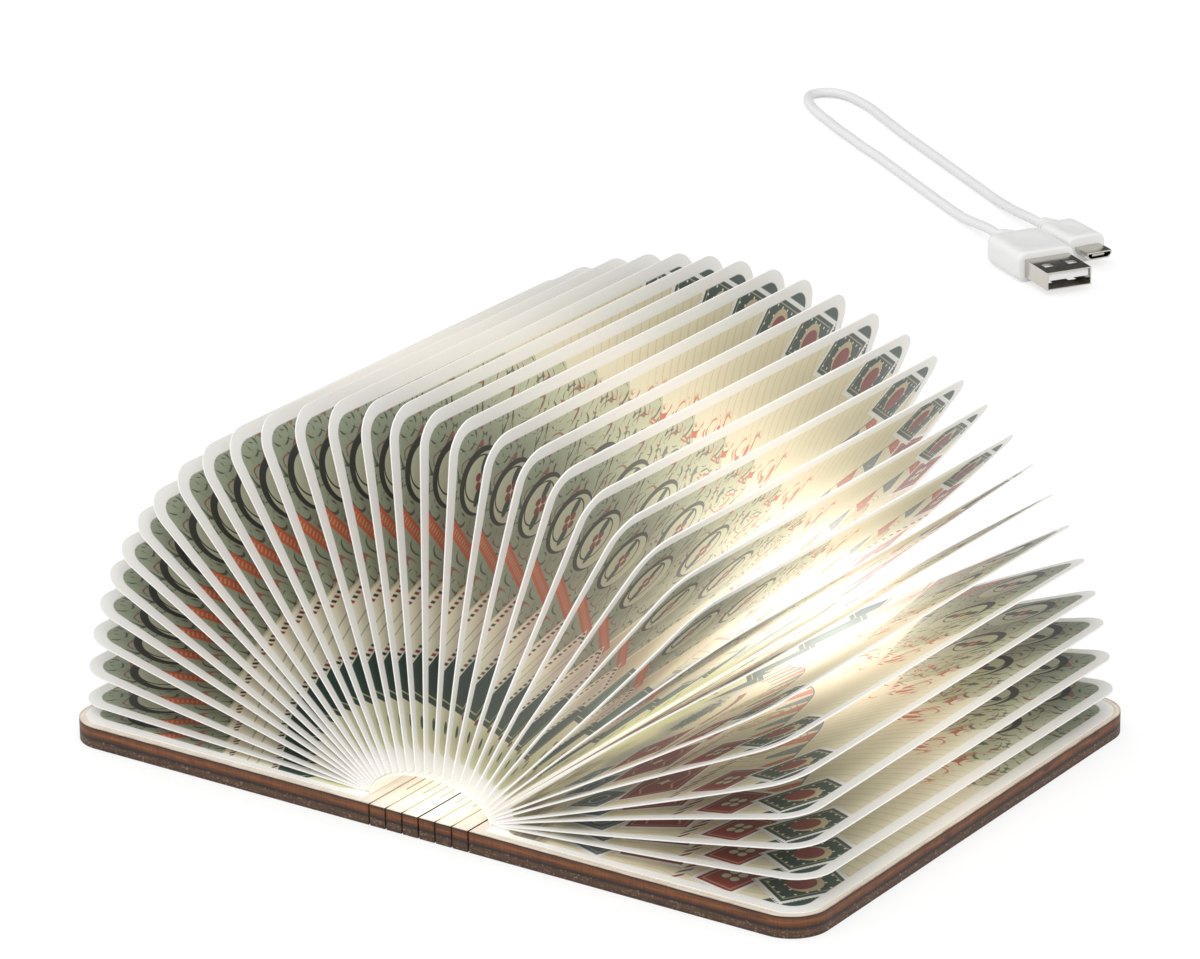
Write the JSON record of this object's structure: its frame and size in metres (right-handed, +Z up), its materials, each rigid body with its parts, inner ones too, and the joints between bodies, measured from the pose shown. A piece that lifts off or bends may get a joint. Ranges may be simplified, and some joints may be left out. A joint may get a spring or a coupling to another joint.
{
  "type": "folding book lamp",
  "caption": "Lamp shaped like a small hardback book: opened flat, its printed paper leaves fan out round a light in the spine; with a short charging lead.",
  "frame": {"origin": "centre of the underside of the open book, under the middle of the spine", "axes": "+X towards the right cover, +Y towards the far edge where the charging socket is, +Z up through the fan of leaves"},
  "size_m": [0.2841, 0.4516, 0.0841],
  "materials": {
    "plywood": "laser cut plywood with a brown stained face and burnt edges",
    "printed_paper": "matt white paper, printed in muted green, cream and red",
    "plain_paper": "matt white paper",
    "tray_plastic": "moulded white",
    "diffuser_plastic": "milky translucent, lit warm white",
    "circuit_board": "green solder mask",
    "battery_foil": "satin pouch foil",
    "light_chips": "phosphor yellow, lit",
    "socket_steel": "bright plated steel",
    "switch_plastic": "black moulded",
    "magnet_nickel": "nickel plated",
    "cord_jacket": "white soft vinyl",
    "plug_plastic": "white moulded",
    "plug_steel": "bright plated steel"
  },
  "bodies": {
    "right_cover": {"right_cover": "plywood", "right_end_sheet": "printed_paper", "right_magnets": "magnet_nickel", "charging_cord": "cord_jacket", "large_plug_grip": "plug_plastic", "large_plug_shell": "plug_steel", "large_plug_tongue": "plug_plastic", "small_plug_grip": "plug_plastic", "small_plug_shell": "plug_steel"},
    "spine_slat_6": {"spine_slat_6": "plywood"},
    "spine_slat_5": {"spine_slat_5": "plywood"},
    "spine": {"spine_core": "plywood", "root_strip": "plain_paper", "light_tray": "tray_plastic", "diffuser": "diffuser_plastic", "circuit_board": "circuit_board", "battery": "battery_foil", "light_chips": "light_chips", "charging_socket": "socket_steel", "magnet_switch": "switch_plastic"},
    "spine_slat_2": {"spine_slat_2": "plywood"},
    "spine_slat_1": {"spine_slat_1": "plywood"},
    "left_cover": {"left_cover": "plywood", "left_end_sheet": "printed_paper", "left_magnets": "magnet_nickel"},
    "leaf_01": {"leaf_01": "printed_paper"},
    "leaf_02": {"leaf_02": "printed_paper"},
    "leaf_03": {"leaf_03": "printed_paper"},
    "leaf_04": {"leaf_04": "printed_paper"},
    "leaf_05": {"leaf_05": "printed_paper"},
    "leaf_06": {"leaf_06": "printed_paper"},
    "leaf_07": {"leaf_07": "printed_paper"},
    "leaf_08": {"leaf_08": "printed_paper"},
    "leaf_09": {"leaf_09": "printed_paper"},
    "leaf_10": {"leaf_10": "printed_paper"},
    "leaf_11": {"leaf_11": "printed_paper"},
    "leaf_12": {"leaf_12": "printed_paper"},
    "leaf_13": {"leaf_13": "printed_paper"},
    "leaf_14": {"leaf_14": "printed_paper"},
    "leaf_15": {"leaf_15": "printed_paper"},
    "leaf_16": {"leaf_16": "printed_paper"},
    "leaf_17": {"leaf_17": "printed_paper"},
    "leaf_18": {"leaf_18": "printed_paper"},
    "leaf_19": {"leaf_19": "printed_paper"},
    "leaf_20": {"leaf_20": "printed_paper"},
    "leaf_21": {"leaf_21": "printed_paper"},
    "leaf_22": {"leaf_22": "printed_paper"},
    "leaf_23": {"leaf_23": "printed_paper"},
    "leaf_24": {"leaf_24": "printed_paper"},
    "leaf_25": {"leaf_25": "printed_paper"},
    "leaf_26": {"leaf_26": "printed_paper"},
    "leaf_27": {"leaf_27": "printed_paper"},
    "leaf_28": {"leaf_28": "printed_paper"},
    "leaf_29": {"leaf_29": "printed_paper"},
    "leaf_30": {"leaf_30": "printed_paper"},
    "leaf_31": {"leaf_31": "printed_paper"},
    "leaf_32": {"leaf_32": "printed_paper"},
    "leaf_33": {"leaf_33": "printed_paper"},
    "leaf_34": {"leaf_34": "printed_paper"}
  },
  "joints": [
    {"name": "book_fold", "type": "hinge", "parent": "right_cover", "child": "spine_slat_6", "pos_m": [0.0117, 0, 0.0022], "axis": [0, 1, 0], "range_deg": [-30, 30], "deforming": ["root_strip"]},
    {"name": "kerf_6_bend", "type": "hinge", "parent": "spine_slat_6", "child": "spine_slat_5", "pos_m": [0.0078, 0, 0.0022], "axis": [0, 1, 0], "range_deg": [-30, 30]},
    {"name": "kerf_5_bend", "type": "hinge", "parent": "spine_slat_5", "child": "spine", "pos_m": [0.0039, 0, 0.0022], "axis": [0, 1, 0], "range_deg": [-30, 30]},
    {"name": "kerf_3_bend", "type": "hinge", "parent": "spine", "child": "spine_slat_2", "pos_m": [-0.0039, 0, 0.0022], "axis": [0, 1, 0], "range_deg": [-30, 30]},
    {"name": "kerf_2_bend", "type": "hinge", "parent": "spine_slat_2", "child": "spine_slat_1", "pos_m": [-0.0078, 0, 0.0022], "axis": [0, 1, 0], "range_deg": [-30, 30]},
    {"name": "kerf_1_bend", "type": "hinge", "parent": "spine_slat_1", "child": "left_cover", "pos_m": [-0.0117, 0, 0.0022], "axis": [0, 1, 0], "range_deg": [-30, 30]},
    {"name": "leaf_01_turn", "type": "hinge", "parent": "left_cover", "child": "leaf_01", "pos_m": [-0.01549, 0, 0.00499], "axis": [0, 1, 0], "range_deg": [-2.88, 2.88]},
    {"name": "leaf_02_turn", "type": "hinge", "parent": "left_cover", "child": "leaf_02", "pos_m": [-0.01308, 0, 0.00538], "axis": [0, 1, 0], "range_deg": [-8.16, 8.16]},
    {"name": "leaf_03_turn", "type": "hinge", "parent": "left_cover", "child": "leaf_03", "pos_m": [-0.0124, 0, 0.00577], "axis": [0, 1, 0], "range_deg": [-13.44, 13.44]},
    {"name": "leaf_04_turn", "type": "hinge", "parent": "spine_slat_1", "child": "leaf_04", "pos_m": [-0.00884, 0, 0.00512], "axis": [0, 1, 0], "range_deg": [-11.28, 11.28]},
    {"name": "leaf_05_turn", "type": "hinge", "parent": "spine_slat_1", "child": "leaf_05", "pos_m": [-0.00755, 0, 0.00483], "axis": [0, 1, 0], "range_deg": [-6, 6]},
    {"name": "leaf_06_turn", "type": "hinge", "parent": "spine_slat_1", "child": "leaf_06", "pos_m": [0.00523, 0, -0.0021], "axis": [0, 1, 0], "range_deg": [-0.72, 0.72]},
    {"name": "leaf_07_turn", "type": "hinge", "parent": "spine_slat_1", "child": "leaf_07", "pos_m": [-0.01022, 0, 0.00727], "axis": [0, 1, 0], "range_deg": [-4.56, 4.56]},
    {"name": "leaf_08_turn", "type": "hinge", "parent": "spine_slat_1", "child": "leaf_08", "pos_m": [-0.00838, 0, 0.00666], "axis": [0, 1, 0], "range_deg": [-9.84, 9.84]},
    {"name": "leaf_09_turn", "type": "hinge", "parent": "spine_slat_2", "child": "leaf_09", "pos_m": [-0.00347, 0, 0.00263], "axis": [0, 1, 0], "range_deg": [-14.88, 14.88]},
    {"name": "leaf_10_turn", "type": "hinge", "parent": "spine_slat_2", "child": "leaf_10", "pos_m": [-0.00243, 0, 0.00161], "axis": [0, 1, 0], "range_deg": [-9.6, 9.6]},
    {"name": "leaf_11_turn", "type": "hinge", "parent": "spine_slat_2", "child": "leaf_11", "pos_m": [-0.00024, 0, -0.0014], "axis": [0, 1, 0], "range_deg": [-4.32, 4.32]},
    {"name": "leaf_12_turn", "type": "hinge", "parent": "spine_slat_2", "child": "leaf_12", "pos_m": [-0.01575, 0, 0.02623], "axis": [0, 1, 0], "range_deg": [-0.96, 0.96]},
    {"name": "leaf_13_turn", "type": "hinge", "parent": "spine_slat_2", "child": "leaf_13", "pos_m": [-0.00404, 0, 0.00674], "axis": [0, 1, 0], "range_deg": [-6.24, 6.24]},
    {"name": "leaf_14_turn", "type": "hinge", "parent": "spine_slat_2", "child": "leaf_14", "pos_m": [-0.00255, 0, 0.00494], "axis": [0, 1, 0], "range_deg": [-11.52, 11.52]},
    {"name": "leaf_15_turn", "type": "hinge", "parent": "spine", "child": "leaf_15", "pos_m": [-0.00097, 0, 0.00126], "axis": [0, 1, 0], "range_deg": [-13.2, 13.2]},
    {"name": "leaf_16_turn", "type": "hinge", "parent": "spine", "child": "leaf_16", "pos_m": [-0.00059, 0, 0.00118], "axis": [0, 1, 0], "range_deg": [-7.92, 7.92]},
    {"name": "leaf_17_turn", "type": "hinge", "parent": "spine", "child": "leaf_17", "pos_m": [-0.00019, 0, 0.00114], "axis": [0, 1, 0], "range_deg": [-2.64, 2.64]},
    {"name": "leaf_18_turn", "type": "hinge", "parent": "spine", "child": "leaf_18", "pos_m": [0.00019, 0, 0.00114], "axis": [0, 1, 0], "range_deg": [-2.64, 2.64]},
    {"name": "leaf_19_turn", "type": "hinge", "parent": "spine", "child": "leaf_19", "pos_m": [0.00059, 0, 0.00118], "axis": [0, 1, 0], "range_deg": [-7.92, 7.92]},
    {"name": "leaf_20_turn", "type": "hinge", "parent": "spine", "child": "leaf_20", "pos_m": [0.00097, 0, 0.00126], "axis": [0, 1, 0], "range_deg": [-13.2, 13.2]},
    {"name": "leaf_21_turn", "type": "hinge", "parent": "spine_slat_5", "child": "leaf_21", "pos_m": [0.00255, 0, 0.00494], "axis": [0, 1, 0], "range_deg": [-11.52, 11.52]},
    {"name": "leaf_22_turn", "type": "hinge", "parent": "spine_slat_5", "child": "leaf_22", "pos_m": [0.00404, 0, 0.00674], "axis": [0, 1, 0], "range_deg": [-6.24, 6.24]},
    {"name": "leaf_23_turn", "type": "hinge", "parent": "spine_slat_5", "child": "leaf_23", "pos_m": [0.01575, 0, 0.02623], "axis": [0, 1, 0], "range_deg": [-0.96, 0.96]},
    {"name": "leaf_24_turn", "type": "hinge", "parent": "spine_slat_5", "child": "leaf_24", "pos_m": [0.00024, 0, -0.0014], "axis": [0, 1, 0], "range_deg": [-4.32, 4.32]},
    {"name": "leaf_25_turn", "type": "hinge", "parent": "spine_slat_5", "child": "leaf_25", "pos_m": [0.00243, 0, 0.00161], "axis": [0, 1, 0], "range_deg": [-9.6, 9.6]},
    {"name": "leaf_26_turn", "type": "hinge", "parent": "spine_slat_5", "child": "leaf_26", "pos_m": [0.00347, 0, 0.00263], "axis": [0, 1, 0], "range_deg": [-14.88, 14.88]},
    {"name": "leaf_27_turn", "type": "hinge", "parent": "spine_slat_6", "child": "leaf_27", "pos_m": [0.00838, 0, 0.00666], "axis": [0, 1, 0], "range_deg": [-9.84, 9.84]},
    {"name": "leaf_28_turn", "type": "hinge", "parent": "spine_slat_6", "child": "leaf_28", "pos_m": [0.01022, 0, 0.00727], "axis": [0, 1, 0], "range_deg": [-4.56, 4.56]},
    {"name": "leaf_29_turn", "type": "hinge", "parent": "spine_slat_6", "child": "leaf_29", "pos_m": [-0.00523, 0, -0.0021], "axis": [0, 1, 0], "range_deg": [-0.72, 0.72]},
    {"name": "leaf_30_turn", "type": "hinge", "parent": "spine_slat_6", "child": "leaf_30", "pos_m": [0.00755, 0, 0.00483], "axis": [0, 1, 0], "range_deg": [-6, 6]},
    {"name": "leaf_31_turn", "type": "hinge", "parent": "spine_slat_6", "child": "leaf_31", "pos_m": [0.00884, 0, 0.00512], "axis": [0, 1, 0], "range_deg": [-11.28, 11.28]},
    {"name": "leaf_32_turn", "type": "hinge", "parent": "right_cover", "child": "leaf_32", "pos_m": [0.0124, 0, 0.00577], "axis": [0, 1, 0], "range_deg": [-13.44, 13.44]},
    {"name": "leaf_33_turn", "type": "hinge", "parent": "right_cover", "child": "leaf_33", "pos_m": [0.01308, 0, 0.00538], "axis": [0, 1, 0], "range_deg": [-8.16, 8.16]},
    {"name": "leaf_34_turn", "type": "hinge", "parent": "right_cover", "child": "leaf_34", "pos_m": [0.01549, 0, 0.00499], "axis": [0, 1, 0], "range_deg": [-2.88, 2.88]}
  ],
  "couplings": [
    {"joint": "kerf_6_bend", "follows": "book_fold", "ratio": 1},
    {"joint": "kerf_5_bend", "follows": "book_fold", "ratio": 1},
    {"joint": "kerf_3_bend", "follows": "book_fold", "ratio": 1},
    {"joint": "kerf_2_bend", "follows": "book_fold", "ratio": 1},
    {"joint": "kerf_1_bend", "follows": "book_fold", "ratio": 1},
    {"joint": "leaf_01_turn", "follows": "book_fold", "ratio": -0.096},
    {"joint": "leaf_02_turn", "follows": "book_fold", "ratio": -0.272},
    {"joint": "leaf_03_turn", "follows": "book_fold", "ratio": -0.448},
    {"joint": "leaf_04_turn", "follows": "book_fold", "ratio": 0.376},
    {"joint": "leaf_05_turn", "follows": "book_fold", "ratio": 0.2},
    {"joint": "leaf_06_turn", "follows": "book_fold", "ratio": 0.024},
    {"joint": "leaf_07_turn", "follows": "book_fold", "ratio": -0.152},
    {"joint": "leaf_08_turn", "follows": "book_fold", "ratio": -0.328},
    {"joint": "leaf_09_turn", "follows": "book_fold", "ratio": 0.496},
    {"joint": "leaf_10_turn", "follows": "book_fold", "ratio": 0.32},
    {"joint": "leaf_11_turn", "follows": "book_fold", "ratio": 0.144},
    {"joint": "leaf_12_turn", "follows": "book_fold", "ratio": -0.032},
    {"joint": "leaf_13_turn", "follows": "book_fold", "ratio": -0.208},
    {"joint": "leaf_14_turn", "follows": "book_fold", "ratio": -0.384},
    {"joint": "leaf_15_turn", "follows": "book_fold", "ratio": 0.44},
    {"joint": "leaf_16_turn", "follows": "book_fold", "ratio": 0.264},
    {"joint": "leaf_17_turn", "follows": "book_fold", "ratio": 0.088},
    {"joint": "leaf_18_turn", "follows": "book_fold", "ratio": -0.088},
    {"joint": "leaf_19_turn", "follows": "book_fold", "ratio": -0.264},
    {"joint": "leaf_20_turn", "follows": "book_fold", "ratio": -0.44},
    {"joint": "leaf_21_turn", "follows": "book_fold", "ratio": 0.384},
    {"joint": "leaf_22_turn", "follows": "book_fold", "ratio": 0.208},
    {"joint": "leaf_23_turn", "follows": "book_fold", "ratio": 0.032},
    {"joint": "leaf_24_turn", "follows": "book_fold", "ratio": -0.144},
    {"joint": "leaf_25_turn", "follows": "book_fold", "ratio": -0.32},
    {"joint": "leaf_26_turn", "follows": "book_fold", "ratio": -0.496},
    {"joint": "leaf_27_turn", "follows": "book_fold", "ratio": 0.328},
    {"joint": "leaf_28_turn", "follows": "book_fold", "ratio": 0.152},
    {"joint": "leaf_29_turn", "follows": "book_fold", "ratio": -0.024},
    {"joint": "leaf_30_turn", "follows": "book_fold", "ratio": -0.2},
    {"joint": "leaf_31_turn", "follows": "book_fold", "ratio": -0.376},
    {"joint": "leaf_32_turn", "follows": "book_fold", "ratio": 0.448},
    {"joint": "leaf_33_turn", "follows": "book_fold", "ratio": 0.272},
    {"joint": "leaf_34_turn", "follows": "book_fold", "ratio": 0.096}
  ]
}
